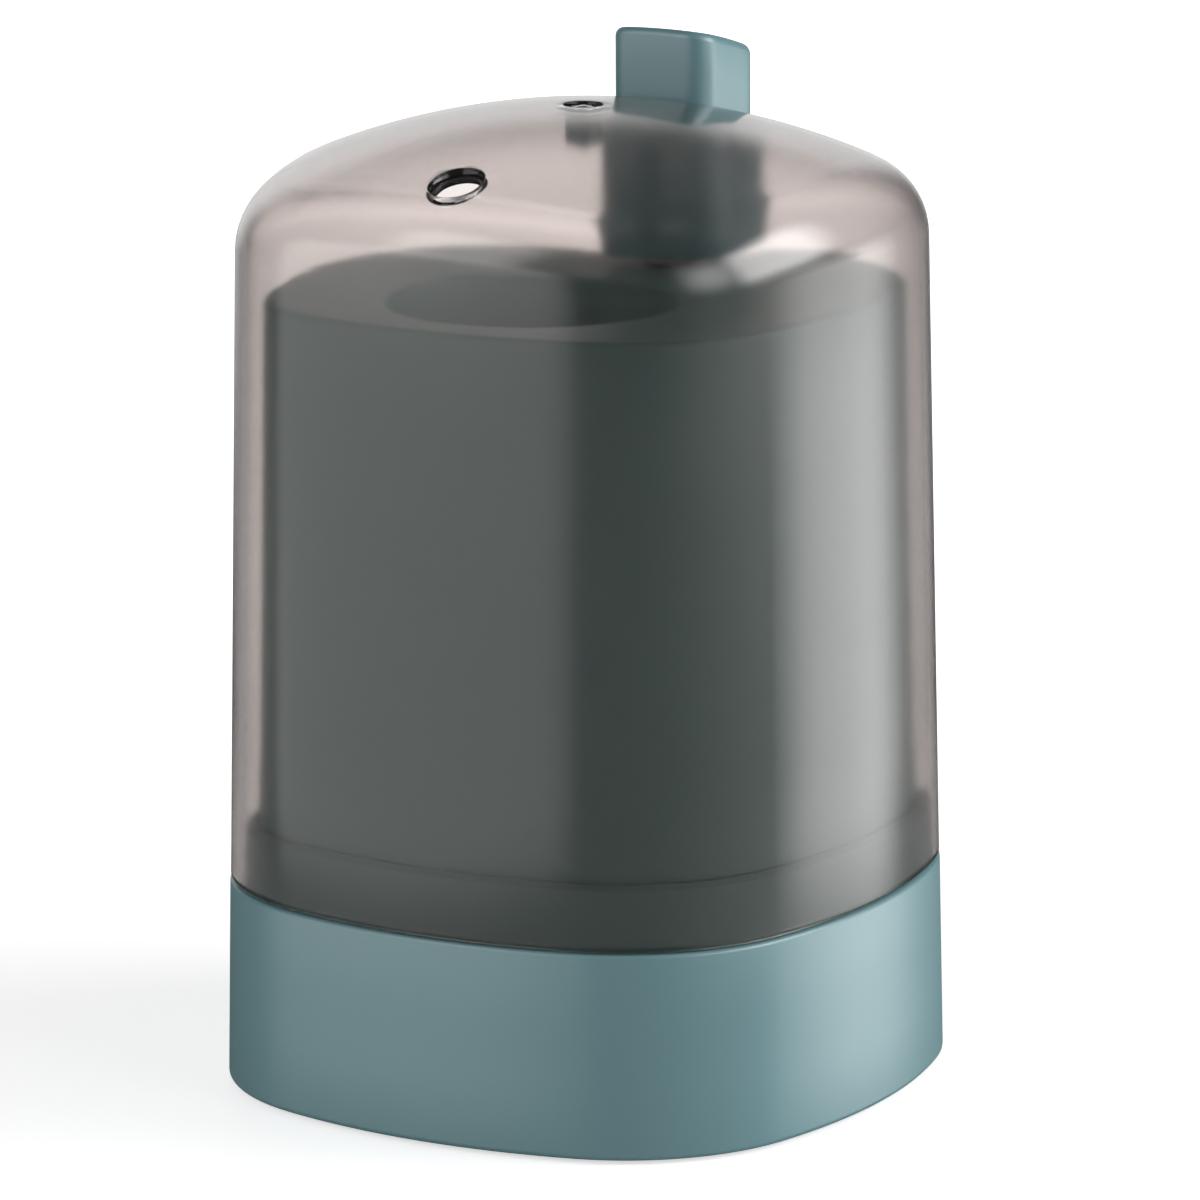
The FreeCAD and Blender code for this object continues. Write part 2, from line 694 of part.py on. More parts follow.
def outlet_oval(spread, level):
    """The outlet's oval, widened by spread, square to the dome at a level above its outside."""
    half_x = outlet_width / 2 + spread
    half_y = outlet_length / 2 + spread
    face = rounded_prism(half_x, half_y, half_x, 0, level, level + 1).Faces
    oval = min(face, key=lambda side: side.CenterOfMass.z).OuterWire
    oval.rotate(V(0, 0, -crown_radius), V(1, 0, 0), outlet_lean)
    oval.translate(V(0, 0, crown_height))
    return oval


def outlet_prism(spread, low, high, flare=0.0):
    """A solid in line with the outlet between two levels, wider by flare at the high one."""
    return Part.makeLoft([outlet_oval(spread, low), outlet_oval(spread + flare, high)], True, True)


def headroom():
    """The space inside the cover, less the gap that pressed-in pieces keep from its walls."""
    return domed(cavity_inset + press_gap, base_height)


def cover():
    outer = domed(cover_step, base_height + rest_gap)
    low = [edge for edge in outer.Edges if edge.BoundBox.ZMax < base_height + rest_gap + 0.01]
    outer = outer.makeChamfer(joint_chamfer, low)
    shell = outer.cut(domed(cavity_inset, base_height - 1))
    boss = post(screw_boss_radius, top_boss_bottom, crown_height).common(outer)
    shell = fuse([shell, boss])
    half = knob_half + knob_fit
    above = crown_height + 1
    holes = [outlet_prism(0.0, ring_level, 1)]
    holes.append(rounded_prism(half, half, knob_corner + knob_fit, knob_y, seat_top, above))
    holes.append(post(screw_well_radius, crown_height - screw_well_depth, above))
    holes.append(post(top_shank_radius + pilot_gap, top_boss_bottom - 1, above))
    return cut(shell, holes)


def outlet_ring():
    """Pressed-in ring that lines the outlet: a funnel at its mouth, then a straight bore."""
    sleeve = outlet_prism(-ring_fit, ring_level, 0)
    flange = outlet_prism(flange_overlap, ring_level, 0).common(headroom())
    ring = fuse([sleeve, flange]).common(ball(cover_step + ring_recess))
    bore = -ring_fit - ring_wall
    mouth = outlet_prism(bore, -cover_step - ring_recess - ring_step, 0, ring_wall - ring_mouth)
    return cut(ring, [outlet_prism(bore, ring_level - 1, 1), mouth])


def top_screw():
    head_top = top_screw_seat + top_head_height
    head = post(top_head_radius, top_screw_seat, head_top)
    crest = [edge for edge in head.Edges if edge.BoundBox.ZMin > head_top - 0.01]
    head = head.makeFillet(top_head_round, crest)
    shank = post(top_shank_radius, top_screw_seat - top_screw_length, top_screw_seat + 0.1)
    return head.fuse(shank).removeSplitter()


def knob_bracket():
    """Arm under the dome, hung from the top screw, that guides the knob's stem and seats its spring."""
    heel_front = knob_y + skirt_half + heel_gap
    heel_back = heel_front + heel_length
    half = bracket_half_width
    rib_bottom = bracket_bottom - bracket_rib
    pieces = [block(-half, half, -bracket_post, heel_back, bracket_bottom, bracket_top)]
    pieces.append(post(bracket_post, bracket_bottom, top_boss_bottom - press_gap))
    for x in (-half, half - rib_thickness):
        pieces.append(block(x, x + rib_thickness, -bracket_post, heel_back, rib_bottom, bracket_top))
    half = heel_half_width
    pieces.append(block(-half, half, heel_front, heel_back, bracket_bottom, crown_height))
    pieces.append(post(spring_seat_radius, bracket_bottom, seat_top, 0, knob_y))
    body = fuse(pieces).common(headroom())
    bore = post(stem_radius + running_gap, bracket_bottom - 1, seat_top + 1, 0, knob_y)
    pilot_bottom = top_screw_seat - top_screw_length - pilot_spare
    pilot = post(top_shank_radius, pilot_bottom, top_boss_bottom)
    return cut(body, [bore, pilot])


def knob():
    above = crown_height + knob_proud + 1
    cap = rounded_prism(knob_half, knob_half, knob_corner, knob_y, skirt_bottom, above)
    cap = cap.common(ball(-knob_proud))
    crest = [edge for edge in cap.Edges if edge.BoundBox.ZMin > crown_height]
    cap = cap.makeFillet(knob_edge_round, crest)
    corner = knob_corner + skirt_overlap
    skirt = rounded_prism(skirt_half, skirt_half, corner, knob_y, skirt_bottom, crown_height)
    skirt = skirt.common(domed(cavity_inset + skirt_gap, base_height))
    bore = post(knob_bore, skirt_bottom - 1, knob_ceiling, 0, knob_y)
    body = fuse([cap, skirt]).cut(bore)
    socket_bottom = knob_ceiling - socket_length
    socket = post(stem_radius + socket_wall, socket_bottom, knob_ceiling + 0.1, 0, knob_y)
    hole = post(stem_radius + press_gap, socket_bottom - 1, knob_ceiling - socket_roof, 0, knob_y)
    return body.fuse(socket).cut(hole).removeSplitter()


def knob_stem():
    stem = post(stem_radius, stem_bottom, knob_ceiling - socket_length + stem_grip, 0, knob_y)
    ends = [edge for edge in stem.Edges if edge.BoundBox.ZMax < stem_bottom + 0.01]
    return stem.makeFillet(stem_radius / 3, ends)


def knob_spring():
    return coil(knob_coil_radius, knob_wire, seat_top, knob_ceiling, knob_coil_turns, knob_y)


def clamp_screw(x, y):
    """A pan-headed screw pointing up through the deck into the container."""
    head_bottom = deck_bottom - screw_head_height
    head = post(screw_head_radius, head_bottom, deck_bottom - press_gap, x, y)
    rim = [edge for edge in head.Edges if edge.BoundBox.ZMax < head_bottom + 0.01]
    head = head.makeChamfer(screw_head_height / 2, rim)
    shank = post(screw_pilot, deck_bottom - 0.1, deck_bottom + clamp_screw_length, x, y)
    return head.fuse(shank).removeSplitter()


def pieces():
    """Every separate piece, by the name of its file."""
    base_screws = [countersunk_screw(x, y, plate_bottom, screw_length) for x, y in base_screw_places()]
    bracket_screws = [countersunk_screw(x, pivot_y, plate_bottom, bracket_screw_length)
                      for x in (-pillar_spread, pillar_spread)]
    clamp_screws = [clamp_screw(x, y) for x, y in clamp_places()]
    made = {
        "base_shell": base_shell(),
        "base_plate": base_plate(),
        "base_screws": Part.makeCompound(base_screws),
        "container": container(),
        "container_screws": Part.makeCompound(clamp_screws),
        "well_floor": well_floor(),
        "rod_bush": bush(rod_radius, knob_y),
        "lifter_bush": bush(lifter_radius, lifter_y),
        "lever_bracket": lever_bracket(),
        "bracket_screws": Part.makeCompound(bracket_screws),
        "pivot_pin": pivot_pin(),
        "pivot_clip": pivot_clip(),
        "lever": lever(),
        "push_rod": push_rod(),
        "rod_cap": rod_cap(),
        "rod_spring": rod_spring(),
        "rod_pin": cross_pin(knob_y, rod_pin_z),
        "lifter": lifter(),
        "lifter_cup": lifter_cup(),
        "lifter_pin": cross_pin(lifter_y, lifter_pin_z),
        "cover": cover(),
        "outlet_ring": outlet_ring(),
        "top_screw": top_screw(),
        "knob_bracket": knob_bracket(),
        "knob": knob(),
        "knob_stem": knob_stem(),
        "knob_spring": knob_spring(),
    }
    foot_names = ("foot_front_left", "foot_back_left", "foot_front_right", "foot_back_right")
    for name, (x, y) in zip(foot_names, corners(foot_x, foot_y)):
        made[name] = foot(x, y)
    return made


def main():
    os.makedirs("parts", exist_ok=True)
    for name, shape in pieces().items():
        solids = len(shape.Solids)
        print(f"{name}: {solids} solid(s), valid {shape.isValid()}, volume {shape.Volume:.1f}")
        shape.exportStep(os.path.join("parts", name + ".step"))
    print(f"lever tilt {lever_tilt:.3f} deg, lift {lift:.2f} mm, pivot y {pivot_y:.3f} z {pivot_z:.3f}")


main()
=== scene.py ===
import bpy
import json
import math
from mathutils import Matrix, Quaternion, Vector


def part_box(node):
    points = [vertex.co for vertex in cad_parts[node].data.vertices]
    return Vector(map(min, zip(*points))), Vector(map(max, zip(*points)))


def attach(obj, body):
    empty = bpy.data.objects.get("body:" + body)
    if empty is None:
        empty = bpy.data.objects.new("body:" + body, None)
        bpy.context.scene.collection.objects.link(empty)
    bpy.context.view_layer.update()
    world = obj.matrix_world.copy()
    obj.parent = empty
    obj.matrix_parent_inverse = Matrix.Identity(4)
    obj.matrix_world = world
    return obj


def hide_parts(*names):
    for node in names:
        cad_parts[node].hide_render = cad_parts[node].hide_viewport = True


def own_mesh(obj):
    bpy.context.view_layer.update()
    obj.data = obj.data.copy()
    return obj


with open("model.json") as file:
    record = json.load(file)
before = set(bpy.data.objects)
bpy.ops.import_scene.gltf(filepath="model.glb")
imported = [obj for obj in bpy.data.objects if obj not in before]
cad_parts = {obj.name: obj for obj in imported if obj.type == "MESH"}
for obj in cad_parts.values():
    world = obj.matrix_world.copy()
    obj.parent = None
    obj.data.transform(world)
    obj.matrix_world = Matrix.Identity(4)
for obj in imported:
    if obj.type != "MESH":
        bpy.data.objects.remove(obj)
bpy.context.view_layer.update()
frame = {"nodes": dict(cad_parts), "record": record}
cadNodes = frame["nodes"]
bpy.context.scene.view_settings.view_transform = "Standard"
print("frame loaded with", len(cadNodes), "nodes")

mm = 0.001

# the form that base, cover and container share, in mm and degrees
bodyForm = {"halfWidth": 35.985, "sideRadius": 67.0, "cornerRadius": 22.9, "draft": 1.22, "jointHeight": 22.3,
            "crownHeight": 104.7, "crownRadius": 78.5, "shoulder": 8.6, "shoulderPasses": 6,
            "stepsPerArc": 16}
cutOver = 2  # how far a cutting tool reaches past the surface that it cuts
draft = math.radians(bodyForm["draft"])
lean = math.tan(draft)
crownCentre = bodyForm["crownHeight"] - bodyForm["crownRadius"]


def bodyOutline():
    # the bowed square at the table, as points with their outward directions
    form = bodyForm
    sideCentre = form["halfWidth"] - form["sideRadius"]
    reach = form["sideRadius"] - form["cornerRadius"]
    cornerCentre = (sideCentre + math.sqrt(2 * reach ** 2 - sideCentre ** 2)) / 2
    split = math.atan2(cornerCentre, cornerCentre - sideCentre)
    arcs = [(sideCentre, 0.0, form["sideRadius"], -split, split),
            (cornerCentre, cornerCentre, form["cornerRadius"], split, math.pi / 2 - split)]
    points = []
    for quarter in range(4):
        turn = Matrix.Rotation(quarter * math.pi / 2, 3, "Z")
        for centreX, centreY, radius, start, end in arcs:
            for step in range(form["stepsPerArc"]):
                angle = start + (end - start) * step / form["stepsPerArc"]
                out = Vector((math.cos(angle), math.sin(angle), 0))
                place = Vector((centreX, centreY, 0)) + out * radius
                points.append((turn @ place, turn @ out))
    return points


outlinePoints = bodyOutline()


def wallRing(inset, height):
    # the outline at a height, moved in by inset and by the wall's lean
    ring = []
    for place, out in outlinePoints:
        moved = place - out * (inset + height * lean)
        ring.append(Vector((moved.x, moved.y, height)))
    return ring


def circleRing(radius, height, centreY=0.0):
    # a round ring with as many points as the outline, facing the same ways
    ring = []
    for place, _ in outlinePoints:
        way = place.normalized()
        ring.append(Vector((way.x * radius, way.y * radius + centreY, height)))
    return ring


def domeHeight(x, y, inset):
    radius = bodyForm["crownRadius"] - inset
    return crownCentre + math.sqrt(radius ** 2 - x ** 2 - y ** 2)


def onDome(ring, inset):
    return [Vector((p.x, p.y, domeHeight(p.x, p.y, inset))) for p in ring]


def between(ringA, ringB, share):
    return [a.lerp(b, share) for a, b in zip(ringA, ringB)]


def edgeRound(radius, steps):
    # a quarter round as (along, across) pairs, from 0,0 to the radius both ways
    turns = [math.pi / 2 * step / steps for step in range(steps + 1)]
    return [(radius * math.sin(turn), radius * (1 - math.cos(turn))) for turn in turns]


def shoulderRings(inset, steps):
    # the rolled round between dome and walls, from the dome down to the wall
    radius = bodyForm["shoulder"] - inset
    reach = bodyForm["crownRadius"] - inset - radius
    heart = Vector((0, 0, crownCentre))
    rings = [[] for _ in range(steps + 1)]
    for place, out in outlinePoints:
        height = bodyForm["crownHeight"] - 2 * radius
        for _ in range(bodyForm["shoulderPasses"]):
            middle = place - out * (inset + radius / math.cos(draft) + height * lean)
            height = crownCentre + math.sqrt(reach ** 2 - middle.x ** 2 - middle.y ** 2)
        middle = Vector((middle.x, middle.y, height))
        upward = (middle - heart).normalized()
        sideways = out * math.cos(draft) + Vector((0, 0, math.sin(draft)))
        for step in range(steps + 1):
            rings[step].append(middle + upward.slerp(sideways, step / steps) * radius)
    return rings


def clearSelection():
    if bpy.context.object and bpy.context.object.mode != "OBJECT":
        bpy.ops.object.mode_set(mode="OBJECT")
    bpy.ops.object.select_all(action="DESELECT")


def pickOnly(piece):
    clearSelection()
    piece.select_set(True)
    bpy.context.view_layer.objects.active = piece


def selectVertices(piece, chosen):
    bpy.ops.object.mode_set(mode="EDIT")
    bpy.ops.mesh.select_mode(type="VERT")
    bpy.ops.mesh.select_all(action="DESELECT")
    bpy.ops.object.mode_set(mode="OBJECT")
    for index in chosen:
        piece.data.vertices[index].select = True
    bpy.ops.object.mode_set(mode="EDIT")


def ringSkin(name, rings, closed=False, poles=""):
    # extrudes a circle from ring to ring, in mm, then joins or closes its ends
    clearSelection()
    count = len(rings[0])
    bpy.ops.mesh.primitive_circle_add(vertices=count, radius=1.0)
    piece = bpy.context.object
    piece.name = name
    bpy.ops.object.mode_set(mode="EDIT")
    bpy.ops.mesh.select_all(action="SELECT")
    for _ in rings[1:]:
        bpy.ops.mesh.extrude_edges_move()
    bpy.ops.object.mode_set(mode="OBJECT")
    piece.data.vertices.foreach_set("co", [value * mm for ring in rings for place in ring for value in place])
    firstRing = list(range(count))
    lastRing = list(range(count * (len(rings) - 1), count * len(rings)))
    if closed:
        selectVertices(piece, firstRing + lastRing)
        bpy.ops.mesh.bridge_edge_loops()
    for word, loop in (("start", firstRing), ("end", lastRing)):
        if word in poles:
            selectVertices(piece, loop)
            bpy.ops.mesh.extrude_edges_move()
            bpy.ops.mesh.merge(type="CENTER")
    bpy.ops.object.mode_set(mode="EDIT")
    bpy.ops.mesh.select_all(action="SELECT")
    bpy.ops.mesh.normals_make_consistent(inside=False)
    bpy.ops.object.mode_set(mode="OBJECT")
    return piece


def combine(piece, tool, operation):
    # joins another solid to a piece, or cuts it away, and uses it up
    pickOnly(piece)
    change = piece.modifiers.new("combine", "BOOLEAN")
    change.operation = operation
    change.solver = "EXACT"
    change.object = tool
    bpy.ops.object.modifier_apply(modifier=change.name)
    bpy.data.objects.remove(tool)


def softenEdges(piece, width, segments=2, angle=35):
    pickOnly(piece)
    bevel = piece.modifiers.new("soften", "BEVEL")
    bevel.width = width * mm
    bevel.segments = segments
    bevel.limit_method = "ANGLE"
    bevel.angle_limit = math.radians(angle)
    bpy.ops.object.modifier_apply(modifier=bevel.name)


def shadeSmooth(piece, angle=32):
    pickOnly(piece)
    bpy.ops.object.shade_smooth_by_angle(angle=math.radians(angle))


def turnedRings(profile, centreY=0.0, count=64):
    # rings for a turned part from (radius, height) pairs
    rings = []
    for radius, height in profile:
        ring = []
        for step in range(count):
            turn = 2 * math.pi * step / count
            ring.append(Vector((radius * math.cos(turn), centreY + radius * math.sin(turn), height)))
        rings.append(ring)
    return rings


def squareRing(half, corner, centreY, height=0.0, steps=10, straight=6):
    # a rounded square with points along its corners and its sides
    ring = []
    core = half - corner
    for quarter in range(4):
        turn = Matrix.Rotation(quarter * math.pi / 2, 3, "Z")
        for step in range(steps + 1):
            angle = math.pi / 2 * step / steps
            place = Vector((core + corner * math.cos(angle), core + corner * math.sin(angle), 0))
            ring.append(turn @ place)
        for step in range(1, straight):
            place = Vector((core - 2 * core * step / straight, half, 0))
            ring.append(turn @ place)
    return [Vector((p.x, p.y + centreY, height)) for p in ring]


# base: hollow, with a deck and the rim that the cover slides over
baseSizes = {"standsAt": 0.4, "bottomRound": 0.6, "topRound": 0.42, "wall": 2.2, "deck": 1.6,
             "rimInset": 1.82, "rimWall": 1.1, "rimHeight": 7.0, "rimLead": 0.5, "middle": 3.0}


def makeBase():
    sizes = baseSizes
    joint = bodyForm["jointHeight"]
    deckUnder = joint - sizes["deck"]
    rimTop = joint + sizes["rimHeight"]
    rimInside = sizes["rimInset"] + sizes["rimWall"]
    rings = [circleRing(sizes["middle"], deckUnder), wallRing(sizes["wall"], deckUnder)]
    rings.append(wallRing(sizes["wall"], sizes["standsAt"]))
    for along, across in edgeRound(sizes["bottomRound"], steps=5):
        rings.append(wallRing(sizes["bottomRound"] - along, sizes["standsAt"] + across))
    low = sizes["standsAt"] + sizes["bottomRound"]
    high = joint - sizes["topRound"]
    rings += [wallRing(0, low + (high - low) * share) for share in (0.33, 0.67)]
    for along, across in edgeRound(sizes["topRound"], steps=4):
        rings.append(wallRing(across, high + along))
    rings += [wallRing(sizes["rimInset"], joint), wallRing(sizes["rimInset"], rimTop - sizes["rimLead"])]
    rings += [wallRing(sizes["rimInset"] + sizes["rimLead"], rimTop), wallRing(rimInside, rimTop)]
    rings += [wallRing(rimInside, joint), circleRing(sizes["middle"], joint)]
    base = ringSkin("baseBody", rings, poles="start end")
    shadeSmooth(base)
    return base


# cover: thin smoky shell with a dome, a shoulder and straight walls
coverSizes = {"step": 0.07, "wall": 1.5, "restGap": 0.16, "bottomRound": 0.4, "screwWell": 2.1,
              "wellDepth": 1.3, "shankHole": 1.25, "bossRadius": 2.8, "bossDepth": 1.9, "mouthRound": 0.14,
              "domeRings": 30, "shoulderSteps": 9}


def domeRings(inset, innerRadius, outerRing, count):
    # rings over the dome from a circle in the middle to the start of the shoulder
    inner = circleRing(innerRadius, 0)
    rings = []
    for step in range(count):
        rings.append(onDome(between(inner, outerRing, step / count), inset))
    return rings


def makeCover():
    sizes = coverSizes
    crown = bodyForm["crownHeight"]
    inside = sizes["step"] + sizes["wall"]
    bossUnder = crown - sizes["bossDepth"]
    wellFloor = crown - sizes["wellDepth"]
    mouth = sizes["screwWell"] + sizes["mouthRound"]
    rings = [circleRing(sizes["shankHole"], bossUnder), circleRing(sizes["shankHole"], wellFloor),
             circleRing(sizes["screwWell"], wellFloor)]
    mouthTop = domeHeight(mouth, 0, sizes["step"])
    for along, across in edgeRound(sizes["mouthRound"], steps=3)[:-1]:
        rings.append(circleRing(sizes["screwWell"] + across, mouthTop - sizes["mouthRound"] + along))
    outerShoulder = shoulderRings(sizes["step"], sizes["shoulderSteps"])
    innerShoulder = shoulderRings(inside, sizes["shoulderSteps"])
    rings += domeRings(sizes["step"], mouth, outerShoulder[0], sizes["domeRings"])
    rings += outerShoulder
    bottom = bodyForm["jointHeight"] + sizes["restGap"]
    low = wallRing(sizes["step"], bottom + sizes["bottomRound"])
    rings += [between(outerShoulder[-1], low, share) for share in (0.25, 0.5, 0.75)]
    for along, across in edgeRound(sizes["bottomRound"], steps=4):
        rings.append(wallRing(sizes["step"] + across, bottom + sizes["bottomRound"] - along))
    rings.append(wallRing(inside, bottom))
    rings += [between(wallRing(inside, bottom), innerShoulder[-1], share) for share in (0.25, 0.5, 0.75)]
    rings += reversed(innerShoulder)
    rings += reversed(domeRings(inside, sizes["bossRadius"], innerShoulder[0], sizes["domeRings"]))
    rings.append(circleRing(sizes["bossRadius"], bossUnder))
    cover = ringSkin("smokyCover", rings, closed=True)
    combine(cover, outletCutter(), "DIFFERENCE")
    combine(cover, knobCutter(), "DIFFERENCE")
    shadeSmooth(cover)
    return cover


# outlet: an oval hole square to the dome, lined with a black ring
outletSizes = {"place": -26.2, "width": 5.6, "length": 6.2, "lipRound": 0.18, "fit": 0.03, "wall": 0.32,
               "funnel": 0.5, "land": 0.1, "recess": 0.14, "flange": 0.12, "flangeGap": 0.03, "overlap": 0.25,
               "edge": 0.04, "cutDepth": 4}


def ovalRing(spread, level, followDome=True, steps=14, straight=4):
    # an oval about the outlet's axis, at a level above the dome's outside
    sizes = outletSizes
    radius = sizes["width"] / 2 + spread
    shift = (sizes["length"] - sizes["width"]) / 2
    flat = []
    for side in (1, -1):
        for step in range(steps + 1):
            angle = math.pi * step / steps
            flat.append(Vector((side * radius * math.cos(angle),
                                side * (shift + radius * math.sin(angle)), 0)))
        for step in range(1, straight):
            flat.append(Vector((-side * radius, side * (shift - 2 * shift * step / straight), 0)))
    turn = Matrix.Rotation(math.asin(-sizes["place"] / bodyForm["crownRadius"]), 3, "X")
    ring = []
    for place in flat:
        reach = bodyForm["crownRadius"] + level
        height = math.sqrt(reach ** 2 - place.x ** 2 - place.y ** 2) if followDome else reach
        ring.append(turn @ Vector((place.x, place.y, height)) + Vector((0, 0, crownCentre)))
    return ring


def outletCutter():
    lip = outletSizes["lipRound"]
    rings = [ovalRing(0, -outletSizes["cutDepth"], followDome=False)]
    for along, across in edgeRound(lip, steps=4):
        rings.append(ovalRing(across, -coverSizes["step"] - lip + along))
    rings.append(ovalRing(lip, cutOver))
    return ringSkin("outletCutter", rings, poles="start end")


def makeOutletRing():
    sizes = outletSizes
    bore = -sizes["fit"] - sizes["wall"]
    top = -coverSizes["step"] - sizes["recess"]
    under = -coverSizes["step"] - coverSizes["wall"]
    flangeTop = under - sizes["flangeGap"]
    rings = [ovalRing(bore, under - sizes["flange"], followDome=False), ovalRing(bore, top - sizes["funnel"]),
             ovalRing(-sizes["fit"] - sizes["land"], top), ovalRing(-sizes["fit"], top),
             ovalRing(-sizes["fit"], flangeTop), ovalRing(sizes["overlap"], flangeTop),
             ovalRing(sizes["overlap"], under - sizes["flange"], followDome=False)]
    ring = ringSkin("outletLining", rings, closed=True)
    softenEdges(ring, sizes["edge"])
    shadeSmooth(ring, angle=40)
    return ring


# knob: a rounded square cap whose top runs parallel to the dome
knobSizes = {"place": 21.6, "half": 6.0, "corner": 2.5, "proud": 7.465, "topRound": 0.9, "fit": 0.25,
             "mouthRound": 0.14, "overlap": 0.7, "skirtGap": 0.3, "bore": 4.7, "socketBore": 2.02,
             "socketOut": 2.9, "socketLength": 5.0, "socketRoof": 0.8}
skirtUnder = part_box("knob")[0].z / mm
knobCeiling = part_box("knob_spring")[1].z / mm


def knobRing(spread, lift=None, height=0.0):
    # the knob's square, widened by spread, at a height or at a lift above the dome
    sizes = knobSizes
    ring = squareRing(sizes["half"] + spread, sizes["corner"] + spread, sizes["place"], height)
    return ring if lift is None else onDome(ring, -lift)


def knobCutter():
    sizes = knobSizes
    rings = [knobRing(sizes["fit"], height=skirtUnder - cutOver)]
    for along, across in edgeRound(sizes["mouthRound"], steps=3):
        rings.append(knobRing(sizes["fit"] + across, lift=-coverSizes["step"] - sizes["mouthRound"] + along))
    rings.append(knobRing(sizes["fit"] + sizes["mouthRound"], height=bodyForm["crownHeight"] + cutOver))
    return ringSkin("knobCutter", rings, poles="start end")


def makeKnob():
    sizes = knobSizes
    count = len(knobRing(0))
    socketUnder = knobCeiling - sizes["socketLength"]
    hollow = [(sizes["socketBore"], knobCeiling - sizes["socketRoof"]), (sizes["socketBore"], socketUnder),
              (sizes["socketOut"], socketUnder), (sizes["socketOut"], knobCeiling),
              (sizes["bore"], knobCeiling), (sizes["bore"], skirtUnder)]
    rings = turnedRings(hollow, sizes["place"], count)
    inside = coverSizes["step"] + coverSizes["wall"] + sizes["skirtGap"]
    rings += [knobRing(sizes["overlap"], height=skirtUnder), knobRing(sizes["overlap"], lift=-inside)]
    rings += [knobRing(0, lift=-inside), knobRing(0, lift=-coverSizes["step"])]
    rings.append(knobRing(0, lift=sizes["proud"] / 2))
    for along, across in edgeRound(sizes["topRound"], steps=6):
        rings.append(knobRing(-across, lift=sizes["proud"] - sizes["topRound"] + along))
    middle = Vector((0, sizes["place"], 0))
    crest = knobRing(-sizes["topRound"])
    for share in (0.25, 0.5, 0.75, 0.9):
        rings.append(onDome([p.lerp(middle, share) for p in crest], -sizes["proud"]))
    knob = ringSkin("pressKnob", rings, poles="start end")
    shadeSmooth(knob)
    return knob


# guide: a square box under the dome in which the knob slides, hung from the top screw by a short arm
guideSizes = {"spread": 1.5, "wall": 0.5, "under": 87.0, "domeGap": 0.05, "drop": 5.4, "floor": 1.5,
              "seatRadius": 3.4, "stemBore": 2.15, "armHalf": 1.5, "armUnder": 100.0, "armTop": 100.8,
              "bossRadius": 1.9, "bossTop": 102.6, "edge": 0.15}


def makeKnobGuide():
    sizes = guideSizes
    under = coverSizes["step"] + coverSizes["wall"] + sizes["domeGap"]
    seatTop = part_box("knob_spring")[0].z / mm
    floorTop = skirtUnder - sizes["drop"]
    floorUnder = floorTop - sizes["floor"]
    inner = sizes["spread"] - sizes["wall"]
    count = len(knobRing(0))
    seat = [(sizes["seatRadius"], floorTop), (sizes["seatRadius"], seatTop), (sizes["stemBore"], seatTop),
            (sizes["stemBore"], floorUnder)]
    rings = [knobRing(sizes["spread"], height=sizes["under"]), knobRing(sizes["spread"], lift=-under),
             knobRing(inner, lift=-under), knobRing(inner, height=floorTop)]
    rings += turnedRings(seat, knobSizes["place"], count)
    rings += [knobRing(inner, height=floorUnder), knobRing(inner, height=sizes["under"])]
    guide = ringSkin("knobGuide", rings, closed=True)
    front = knobSizes["place"] - knobSizes["half"] - sizes["spread"] + sizes["wall"] / 2
    clearSelection()
    bpy.ops.mesh.primitive_cube_add(size=1.0)
    arm = bpy.context.object
    bpy.ops.object.mode_set(mode="EDIT")
    bpy.ops.mesh.select_all(action="SELECT")
    armHeight = sizes["armTop"] - sizes["armUnder"]
    bpy.ops.transform.resize(value=(2 * sizes["armHalf"] * mm, front * mm, armHeight * mm))
    bpy.ops.transform.translate(value=(0, front / 2 * mm, (sizes["armUnder"] + armHeight / 2) * mm))
    bpy.ops.object.mode_set(mode="OBJECT")
    combine(guide, arm, "UNION")
    boss = [(sizes["bossRadius"], sizes["armUnder"]), (sizes["bossRadius"], sizes["bossTop"])]
    combine(guide, ringSkin("guideBoss", turnedRings(boss), poles="start end"), "UNION")
    hole = [(screwSizes["shankRadius"], sizes["armUnder"] - cutOver),
            (screwSizes["shankRadius"], sizes["bossTop"] + cutOver)]
    combine(guide, ringSkin("guideHole", turnedRings(hole), poles="start end"), "DIFFERENCE")
    softenEdges(guide, sizes["edge"])
    shadeSmooth(guide)
    return guide


# container: straight walls, a flat top and a round well in one moulding
containerSizes = {"inset": 3.12, "wall": 1.4, "top": 85.4, "roof": 1.6, "edgeRound": 0.8, "wellPlace": -10.6,
                  "wellRadius": 15.15, "wellDraft": 0.5, "wellWall": 1.3, "wellUnder": 33.8, "lip": 0.5,
                  "rodPlace": 21.6, "pocketRadius": 4.3, "pocketFloor": 69.8, "pocketLead": 0.3,
                  "guideOut": 5.8, "guideUnder": 65.8, "rodBore": 2.05}


